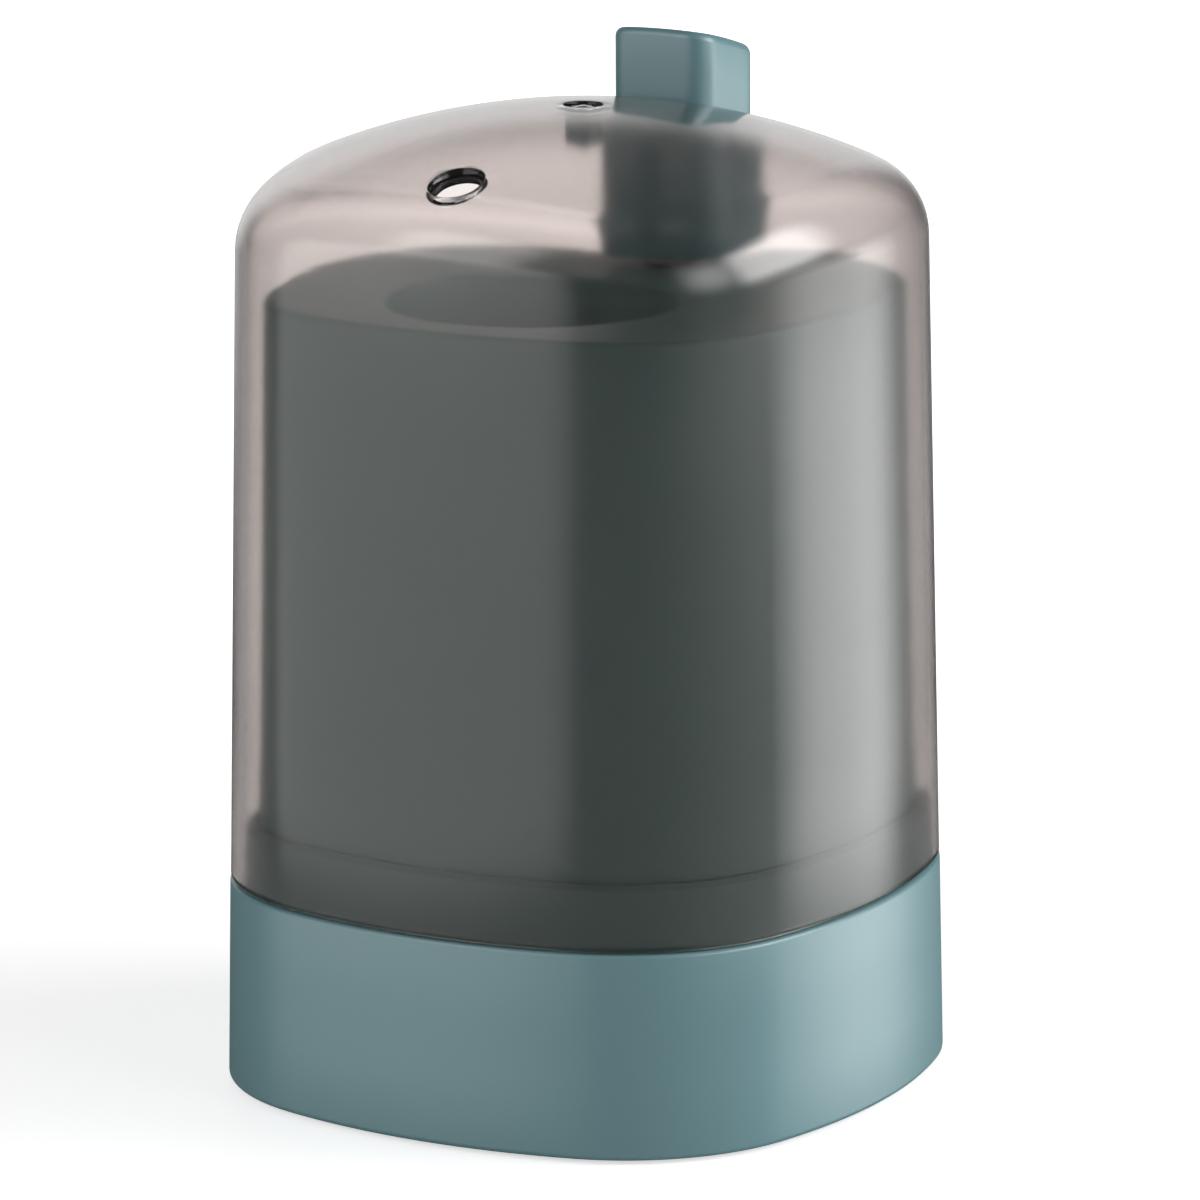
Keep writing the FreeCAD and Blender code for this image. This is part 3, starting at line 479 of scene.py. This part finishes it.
def makeContainer():
    sizes = containerSizes
    top = sizes["top"]
    wellY = sizes["wellPlace"]
    narrowing = (top - sizes["wellUnder"]) * math.tan(math.radians(sizes["wellDraft"]))
    footRadius = sizes["wellRadius"] - narrowing
    under = bodyForm["jointHeight"]
    inside = sizes["inset"] + sizes["wall"]
    rings = [circleRing(footRadius, sizes["wellUnder"], wellY)]
    for along, across in edgeRound(sizes["lip"], steps=5):
        rings.append(circleRing(sizes["wellRadius"] + across, top - sizes["lip"] + along, wellY))
    shelf = wallRing(sizes["inset"] + sizes["edgeRound"], top)
    lip = rings[-1]
    rings += [between(lip, shelf, share) for share in (0.1, 0.5, 0.9)]
    for along, across in edgeRound(sizes["edgeRound"], steps=6):
        rings.append(wallRing(sizes["inset"] + sizes["edgeRound"] - along, top - across))
    rings += [wallRing(sizes["inset"], under + (top - under) * share) for share in (0.66, 0.33, 0)]
    rings += [wallRing(inside, under), wallRing(inside, top - sizes["roof"])]
    rings += [circleRing(sizes["wellRadius"] + sizes["wellWall"], top - sizes["roof"], wellY),
              circleRing(footRadius + sizes["wellWall"], sizes["wellUnder"], wellY)]
    container = ringSkin("wellContainer", rings, closed=True)
    guide = [(sizes["guideOut"], sizes["guideUnder"]), (sizes["guideOut"], top - sizes["roof"] / 2)]
    guideRings = turnedRings(guide, sizes["rodPlace"])
    combine(container, ringSkin("guide", guideRings, poles="start end"), "UNION")
    mouth = sizes["pocketRadius"] + sizes["pocketLead"]
    pocket = [(sizes["rodBore"], sizes["guideUnder"] - cutOver), (sizes["rodBore"], sizes["pocketFloor"]),
              (sizes["pocketRadius"], sizes["pocketFloor"]),
              (sizes["pocketRadius"], top - sizes["pocketLead"]), (mouth, top), (mouth, top + cutOver)]
    pocketRings = turnedRings(pocket, sizes["rodPlace"])
    combine(container, ringSkin("pocket", pocketRings, poles="start end"), "DIFFERENCE")
    shadeSmooth(container)
    return container


# top screw: a domed bright head sunk in the crown
screwSizes = {"headRadius": 1.5, "headHeight": 0.95, "headRound": 0.8, "lift": 0.15, "crestDrop": 1.25,
              "crestRise": 1.1, "shankRadius": 0.9, "length": 4.0, "tipShare": 0.6, "tipLength": 0.6}


def makeTopScrew():
    sizes = screwSizes
    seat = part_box("top_screw")[1].z / mm - sizes["headHeight"] + sizes["lift"]
    top = seat + sizes["headHeight"]
    tip = seat - sizes["length"]
    profile = [(sizes["shankRadius"] * sizes["tipShare"], tip),
               (sizes["shankRadius"], tip + sizes["tipLength"]), (sizes["shankRadius"], seat),
               (sizes["headRadius"], seat)]
    for along, across in edgeRound(sizes["headRound"], steps=6):
        height = top - sizes["headRound"] * sizes["crestDrop"] + along * sizes["crestRise"]
        profile.append((sizes["headRadius"] - across, height))
    rim = profile[-1][0]
    crest = profile[-1][1]
    for share in (0.75, 0.5, 0.25):
        # the last bit of the head is a flat bow
        profile.append((rim * share, crest + (top - crest) * (1 - share ** 2)))
    screw = ringSkin("crownScrew", turnedRings(profile), poles="start end")
    shadeSmooth(screw, angle=50)
    return screw


# springs: round wire wound between two levels
springSizes = {"knobWire": 0.6, "knobCoil": 3.9, "knobTurns": 5, "rodWire": 0.7, "rodCoil": 3.3,
               "rodTurns": 6, "place": 21.6, "stepsPerTurn": 36, "wireSides": 10}


def makeSpring(name, wire, coil, turns, node):
    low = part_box(node)[0].z / mm + wire / 2
    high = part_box(node)[1].z / mm - wire / 2
    steps = turns * springSizes["stepsPerTurn"]
    slope = (high - low) / (2 * math.pi * turns * coil)
    rings = []
    for step in range(steps + 1):
        turn = 2 * math.pi * turns * step / steps
        outward = Vector((math.cos(turn), math.sin(turn), 0))
        forward = Vector((-math.sin(turn), math.cos(turn), slope)).normalized()
        upward = outward.cross(forward)
        middle = outward * coil + Vector((0, springSizes["place"], low + (high - low) * step / steps))
        ring = []
        for side in range(springSizes["wireSides"]):
            angle = 2 * math.pi * side / springSizes["wireSides"]
            ring.append(middle + (outward * math.cos(angle) + upward * math.sin(angle)) * wire / 2)
        rings.append(ring)
    spring = ringSkin(name, rings, poles="start end")
    shadeSmooth(spring, angle=60)
    return spring


cover = makeCover()
print("cover shaped")
container = makeContainer()
base = makeBase()
print("container and base shaped")
knob = makeKnob()
outletRing = makeOutletRing()
topScrew = makeTopScrew()
knobGuide = makeKnobGuide()
knobSpring = makeSpring("knobCoil", springSizes["knobWire"], springSizes["knobCoil"],
                        springSizes["knobTurns"], "knob_spring")
rodSpring = makeSpring("rodCoil", springSizes["rodWire"], springSizes["rodCoil"], springSizes["rodTurns"],
                       "rod_spring")
print("knob and its guide, outlet ring, screw and springs shaped")

for piece, body, node, slotName in ((base, "base", "base_shell", "teal_plastic"),
                                    (container, "base", "container", "teal_plastic"),
                                    (cover, "cover", "cover", "smoky_plastic"),
                                    (knob, "knob", "knob", "teal_plastic"),
                                    (outletRing, "cover", "outlet_ring", "black_plastic"),
                                    (topScrew, "cover", "top_screw", "polished_steel"),
                                    (knobGuide, "cover", "knob_bracket", "teal_plastic"),
                                    (knobSpring, "cover", "knob_spring", "spring_steel"),
                                    (rodSpring, "base", "rod_spring", "spring_steel")):
    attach(piece, body)
    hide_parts(node)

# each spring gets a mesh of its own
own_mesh(knobSpring)
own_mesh(rodSpring)


# materials
def newGroup(name, inputs, outputs):
    group = bpy.data.node_groups.new(name, "ShaderNodeTree")
    for label, kind, value in inputs:
        socket = group.interface.new_socket(name=label, in_out="INPUT", socket_type=kind)
        socket.default_value = value
    for label, kind in outputs:
        group.interface.new_socket(name=label, in_out="OUTPUT", socket_type=kind)
    return group, group.nodes.new("NodeGroupInput"), group.nodes.new("NodeGroupOutput")


def addNode(tree, kind, links=None, **settings):
    # adds a node, sets its properties, then fills its inputs with links or values
    node = tree.nodes.new(kind)
    for name, value in settings.items():
        setattr(node, name, value)
    for name, source in (links or {}).items():
        if isinstance(source, bpy.types.NodeSocket):
            tree.links.new(source, node.inputs[name])
        else:
            node.inputs[name].default_value = source
    return node


def buildMouldGrain():
    # colour, roughness and height of a moulded surface: flow patches and fine grain
    group, entry, result = newGroup("mouldGrain", [("Color", "NodeSocketColor", (0.5, 0.5, 0.5, 1)),
                                                   ("Variation", "NodeSocketFloat", 0.05),
                                                   ("Patch Scale", "NodeSocketFloat", 60.0),
                                                   ("Grain Scale", "NodeSocketFloat", 2500.0),
                                                   ("Roughness", "NodeSocketFloat", 0.4),
                                                   ("Roughness Spread", "NodeSocketFloat", 0.06)],
                                    [("Color", "NodeSocketColor"), ("Roughness", "NodeSocketFloat"),
                                     ("Height", "NodeSocketFloat")])
    place = addNode(group, "ShaderNodeTexCoord")
    patches = addNode(group, "ShaderNodeTexNoise", {"Vector": place.outputs["Object"],
                                                    "Scale": entry.outputs["Patch Scale"], "Detail": 4.0,
                                                    "Roughness": 0.55})
    grain = addNode(group, "ShaderNodeTexNoise", {"Vector": place.outputs["Object"],
                                                  "Scale": entry.outputs["Grain Scale"], "Detail": 2.0})
    centred = addNode(group, "ShaderNodeMath", {0: patches.outputs["Fac"], 1: 0.5}, operation="SUBTRACT")
    shade = addNode(group, "ShaderNodeMath", {0: centred.outputs[0], 1: entry.outputs["Variation"], 2: 1.0},
                    operation="MULTIPLY_ADD")
    tint = addNode(group, "ShaderNodeVectorMath", {0: entry.outputs["Color"]}, operation="SCALE")
    group.links.new(shade.outputs[0], tint.inputs["Scale"])
    mixed = addNode(group, "ShaderNodeMath", {0: patches.outputs["Fac"], 1: grain.outputs["Fac"]},
                    operation="ADD")
    evened = addNode(group, "ShaderNodeMath", {0: mixed.outputs[0], 1: 1.0}, operation="SUBTRACT")
    rough = addNode(group, "ShaderNodeMath", {0: evened.outputs[0], 1: entry.outputs["Roughness Spread"],
                                              2: entry.outputs["Roughness"]}, operation="MULTIPLY_ADD")
    group.links.new(tint.outputs[0], result.inputs["Color"])
    group.links.new(rough.outputs[0], result.inputs["Roughness"])
    group.links.new(grain.outputs["Fac"], result.inputs["Height"])
    return group


mouldGrain = buildMouldGrain()
grainDepth = 0.00005  # how high the grain stands, in m, at a bump strength of 1


def newMaterial(name, shaderValues):
    material = bpy.data.materials.new(name)
    material.use_nodes = True
    tree = material.node_tree
    shader = tree.nodes["Principled BSDF"]
    for label, value in shaderValues.items():
        shader.inputs[label].default_value = value
    return material, tree, shader


def mouldedMaterial(name, color, grain, bump, shaderValues):
    # a moulded plastic: the grain group drives colour, roughness and bump
    material, tree, shader = newMaterial(name, shaderValues)
    group = addNode(tree, "ShaderNodeGroup", node_tree=mouldGrain)
    group.inputs["Color"].default_value = (*color, 1)
    for label, value in grain.items():
        group.inputs[label].default_value = value
    relief = addNode(tree, "ShaderNodeBump", {"Height": group.outputs["Height"], "Strength": bump,
                                              "Distance": grainDepth})
    tree.links.new(group.outputs["Color"], shader.inputs["Base Color"])
    tree.links.new(group.outputs["Roughness"], shader.inputs["Roughness"])
    tree.links.new(relief.outputs["Normal"], shader.inputs["Normal"])
    return material


tealPlastic = mouldedMaterial(
    "tealPlastic", color=(0.142, 0.274, 0.298), bump=0.03,
    shaderValues={"IOR": 1.5, "Specular IOR Level": 0.95},
    grain={"Variation": 0.06, "Patch Scale": 45.0, "Grain Scale": 2600.0,
           "Roughness": 0.38, "Roughness Spread": 0.03})
# the container's own darker teal; on the base's rim and the knob's skirt under the cover the same material is
# painted shade
containerTealAndPaintedShade = mouldedMaterial(
    "containerTealAndPaintedShade", color=(0.110, 0.214, 0.207), bump=0.0, shaderValues={"IOR": 1.5},
    grain={"Variation": 0.10, "Patch Scale": 45.0, "Grain Scale": 2600.0,
           "Roughness": 0.42, "Roughness Spread": 0.01})
smokyPlastic = mouldedMaterial(
    "smokyPlastic", color=(0.69, 0.645, 0.63), bump=0.0,
    shaderValues={"IOR": 1.49, "Transmission Weight": 1.0},
    grain={"Variation": 0.03, "Patch Scale": 30.0, "Grain Scale": 1800.0,
           "Roughness": 0.13, "Roughness Spread": 0.005})
smokyInside = mouldedMaterial(
    "smokyInside", color=(0.69, 0.645, 0.63), bump=0.0,
    shaderValues={"IOR": 1.49, "Transmission Weight": 1.0},
    grain={"Variation": 0.03, "Patch Scale": 30.0, "Grain Scale": 1800.0,
           "Roughness": 0.05, "Roughness Spread": 0.005})
blackPlastic = mouldedMaterial(
    "blackPlastic", color=(0.012, 0.012, 0.013), bump=0.1, shaderValues={"IOR": 1.5},
    grain={"Variation": 0.2, "Patch Scale": 120.0, "Grain Scale": 3000.0,
           "Roughness": 0.12, "Roughness Spread": 0.05})
whiteNylon = mouldedMaterial(
    "whiteNylon", color=(0.78, 0.77, 0.73), bump=0.2,
    shaderValues={"IOR": 1.53, "Subsurface Weight": 0.15, "Subsurface Scale": 0.002},
    grain={"Variation": 0.06, "Patch Scale": 90.0, "Grain Scale": 2600.0,
           "Roughness": 0.45, "Roughness Spread": 0.08})
footRubber = mouldedMaterial(
    "footRubber", color=(0.025, 0.025, 0.027), bump=0.5, shaderValues={"IOR": 1.5},
    grain={"Variation": 0.25, "Patch Scale": 200.0, "Grain Scale": 3200.0,
           "Roughness": 0.7, "Roughness Spread": 0.12})
polishedSteel = mouldedMaterial(
    "polishedSteel", color=(0.90, 0.89, 0.87), bump=0.05, shaderValues={"Metallic": 1.0},
    grain={"Variation": 0.08, "Patch Scale": 300.0, "Grain Scale": 4000.0,
           "Roughness": 0.26, "Roughness Spread": 0.06})
springSteel = mouldedMaterial(
    "springSteel", color=(0.42, 0.41, 0.39), bump=0.15, shaderValues={"Metallic": 1.0},
    grain={"Variation": 0.15, "Patch Scale": 400.0, "Grain Scale": 4000.0,
           "Roughness": 0.3, "Roughness Spread": 0.1})
zincSteel = mouldedMaterial(
    "zincSteel", color=(0.58, 0.59, 0.60), bump=0.2, shaderValues={"Metallic": 1.0},
    grain={"Variation": 0.2, "Patch Scale": 350.0, "Grain Scale": 3500.0,
           "Roughness": 0.34, "Roughness Spread": 0.12})


# painted shade on the base's rim starts just above the joint line
rimShadeMargin = 0.02  # how far above the joint line, in mm, the darker rim starts
# painted shade on the knob starts just under the dome's outside
skirtShadeMargin = 0.1  # how far under the dome's outside, in mm, the darker skirt starts
coverHeart = Vector((0, 0, 0.06))  # a point in the middle of the cover, in m


def paintRimShade(piece, material):
    # painted shade: the rim behind the cover is painted as dark as the container, standing in for the shade
    # under the cover
    piece.data.materials.append(material)
    for face in piece.data.polygons:
        if face.center.z > (bodyForm["jointHeight"] + rimShadeMargin) * mm:
            face.material_index = 1


def paintSkirtShade(piece, material):
    # painted shade: the knob's part under the dome is painted as dark as the container too, for the shadow at
    # the knob's foot
    piece.data.materials.append(material)
    for face in piece.data.polygons:
        dome = domeHeight(face.center.x / mm, face.center.y / mm, coverSizes["step"])
        if face.center.z < (dome - skirtShadeMargin) * mm:
            face.material_index = 1


def polishInside(piece, material):
    # faces that look towards the middle of the cover take the inside's polish
    piece.data.materials.append(material)
    for face in piece.data.polygons:
        if face.normal.dot(face.center - coverHeart) < 0:
            face.material_index = 1


slotMaterials = {"teal_plastic": tealPlastic, "smoky_plastic": smokyPlastic, "black_plastic": blackPlastic,
                 "white_nylon": whiteNylon, "zinc_steel": zincSteel, "polished_steel": polishedSteel,
                 "spring_steel": springSteel, "foot_rubber": footRubber}

for piece, material in ((base, tealPlastic), (container, containerTealAndPaintedShade), (knob, tealPlastic),
                        (cover, smokyPlastic), (outletRing, blackPlastic), (topScrew, polishedSteel),
                        (knobGuide, tealPlastic), (knobSpring, springSteel), (rodSpring, springSteel)):
    piece.data.materials.clear()
    piece.data.materials.append(material)
polishInside(cover, smokyInside)
# painted shade on the base's rim behind the cover
paintRimShade(base, containerTealAndPaintedShade)
# painted shade on the knob's part under the dome
paintSkirtShade(knob, containerTealAndPaintedShade)

for entry in frame["record"]["subparts"]:
    nodeMaterials = cadNodes[entry["node"]].data.materials
    nodeMaterials.clear()
    nodeMaterials.append(slotMaterials[entry["material_slot"]])
print("materials made and given to", len(cadNodes), "nodes")


# floor, lights and camera
mirroredShare = 0.2  # how much of the white surround is left once a surface has mirrored it
surround = {"seen": 0.92, "everywhere": 0.08}  # the white that is only seen, and the white that gives light


def directView(tree):
    # 1 for what is seen straight or through the cover, less once mirrored, 0 for what a dull surface gathers
    path = addNode(tree, "ShaderNodeLightPath")
    seen = addNode(tree, "ShaderNodeMath", {0: path.outputs["Is Camera Ray"],
                                            1: path.outputs["Is Transmission Ray"]}, operation="MAXIMUM")
    gathered = addNode(tree, "ShaderNodeMath", {0: path.outputs["Diffuse Depth"], 1: 0.5},
                       operation="LESS_THAN")
    mirrored = addNode(tree, "ShaderNodeMath", {0: path.outputs["Glossy Depth"], 1: 0.5},
                       operation="LESS_THAN")
    kept = addNode(tree, "ShaderNodeMath", {0: mirrored.outputs[0], 1: 1 - mirroredShare, 2: mirroredShare},
                   operation="MULTIPLY_ADD")
    neither = addNode(tree, "ShaderNodeMath", {0: gathered.outputs[0], 1: kept.outputs[0]},
                      operation="MULTIPLY")
    direct = addNode(tree, "ShaderNodeMath", {0: seen.outputs[0], 1: neither.outputs[0]},
                     operation="MULTIPLY")
    return direct.outputs[0]


floorSizes = {"side": 6.0, "nearGlow": 0.62, "farGlow": 1.0, "near": 0.05, "far": 0.28}
floorShader = {"Roughness": 0.6, "Base Color": (0.8, 0.8, 0.8, 1), "Emission Color": (1, 1, 1, 1)}


def makeFloor():
    sizes = floorSizes
    clearSelection()
    bpy.ops.mesh.primitive_plane_add(size=sizes["side"], location=(0, 0, 0))
    floor = bpy.context.object
    floor.name = "studioFloor"
    material, tree, shader = newMaterial("paleFloor", floorShader)
    place = addNode(tree, "ShaderNodeTexCoord")
    reach = addNode(tree, "ShaderNodeVectorMath", {0: place.outputs["Object"]}, operation="LENGTH")
    whiteness = addNode(tree, "ShaderNodeMapRange",
                        {"Value": reach.outputs["Value"], "From Min": sizes["near"], "From Max": sizes["far"],
                         "To Min": sizes["nearGlow"], "To Max": sizes["farGlow"]},
                        interpolation_type="SMOOTHSTEP")
    glow = addNode(tree, "ShaderNodeMath", {0: directView(tree), 1: whiteness.outputs["Result"]},
                   operation="MULTIPLY")
    tree.links.new(glow.outputs[0], shader.inputs["Emission Strength"])
    floor.data.materials.append(material)
    floor.visible_glossy = False  # so that gloss also shows the lamps below the table's level


makeFloor()


# soft boxes around the object: where each stands, seen from the middle, its size, the share of it that fades
# out at its edges, and its energy
lampSizes = {"leftSoftbox": {"azimuth": -34, "elevation": 1, "wide": 1.4, "tall": 0.85, "fade": 0.16,
                             "watts": 5.0},
             "leftHighSoftbox": {"azimuth": -26, "elevation": 35, "wide": 0.62, "tall": 0.67, "fade": 0.3,
                                 "watts": 3.4},
             "rightSoftbox": {"azimuth": 116, "elevation": 22, "wide": 0.78, "tall": 0.8, "fade": 0.3,
                              "watts": 11.6},
             "rightFrontSoftbox": {"azimuth": 80, "elevation": 20, "wide": 0.75, "tall": 0.8, "fade": 0.46,
                                   "watts": 5.8},
             "rightLowSoftbox": {"azimuth": 139, "elevation": -12, "wide": 0.8, "tall": 0.46, "fade": 0.38,
                                 "watts": 4.6},
             "backSoftbox": {"azimuth": -143, "elevation": 8, "wide": 1.05, "tall": 0.7, "fade": 0.3,
                             "watts": 1.9}}
lampAim = Vector((0, 0, 0.055))
lampDistance = 0.85


def fadeEdges(lamp, fade):
    # the light falls off smoothly towards the four edges of the box
    lamp.use_nodes = True
    tree = lamp.node_tree
    place = addNode(tree, "ShaderNodeNewGeometry")
    split = addNode(tree, "ShaderNodeSeparateXYZ", {"Vector": place.outputs["Parametric"]})
    fades = []
    for axis in ("X", "Y"):
        centred = addNode(tree, "ShaderNodeMath", {0: split.outputs[axis], 1: 0.5}, operation="SUBTRACT")
        fromMiddle = addNode(tree, "ShaderNodeMath", {0: centred.outputs[0]}, operation="ABSOLUTE")
        edge = addNode(tree, "ShaderNodeMapRange", {"Value": fromMiddle.outputs[0], "From Min": 0.5,
                                                    "From Max": 0.5 - fade, "To Min": 0.0, "To Max": 1.0},
                       interpolation_type="SMOOTHSTEP")
        fades.append(edge.outputs["Result"])
    both = addNode(tree, "ShaderNodeMath", {0: fades[0], 1: fades[1]}, operation="MULTIPLY")
    tree.links.new(both.outputs[0], tree.nodes["Emission"].inputs["Strength"])


def softLamp(name, sizes):
    azimuth = math.radians(sizes["azimuth"])
    elevation = math.radians(sizes["elevation"])
    way = Vector((math.sin(azimuth) * math.cos(elevation), -math.cos(azimuth) * math.cos(elevation),
                  math.sin(elevation)))
    clearSelection()
    bpy.ops.object.light_add(type="AREA", location=lampAim + way * lampDistance)
    lamp = bpy.context.object
    lamp.name = name
    lamp.data.shape = "RECTANGLE"
    lamp.data.size = sizes["wide"]
    lamp.data.size_y = sizes["tall"]
    lamp.data.energy = sizes["watts"]
    lamp.rotation_euler = (-way).to_track_quat("-Z", "Y").to_euler()
    lamp.visible_camera = False
    fadeEdges(lamp.data, sizes["fade"])


for lampName in lampSizes:
    softLamp(lampName, lampSizes[lampName])

world = bpy.context.scene.world or bpy.data.worlds.new("studioWorld")
bpy.context.scene.world = world
world.use_nodes = True
worldTree = world.node_tree
worldTree.nodes.clear()
strength = addNode(worldTree, "ShaderNodeMath", {0: directView(worldTree), 1: surround["seen"],
                                                 2: surround["everywhere"]}, operation="MULTIPLY_ADD")
sky = addNode(worldTree, "ShaderNodeBackground", {"Color": (1, 1, 1, 1)})
worldTree.links.new(strength.outputs[0], sky.inputs["Strength"])
worldOut = addNode(worldTree, "ShaderNodeOutputWorld")
worldTree.links.new(sky.outputs[0], worldOut.inputs["Surface"])

cameraSizes = {"place": (0.372777, -0.649195, 0.220189), "aim": (0.001323, 0.000761, 0.051130),
               "lens": 215.53, "sensor": 36, "roll": -0.255}
cameraPlace = Vector(cameraSizes["place"])
cameraAim = Vector(cameraSizes["aim"])
clearSelection()
bpy.ops.object.camera_add(location=cameraPlace)
camera = bpy.context.object
camera.name = "productCamera"
camera.data.sensor_width = cameraSizes["sensor"]
camera.data.lens = cameraSizes["lens"]
camera.rotation_mode = "QUATERNION"
levelView = (cameraAim - cameraPlace).to_track_quat("-Z", "Y")
camera.rotation_quaternion = levelView @ Quaternion((0, 0, 1), math.radians(cameraSizes["roll"]))
bpy.context.scene.camera = camera
print("floor, lamps and camera set")
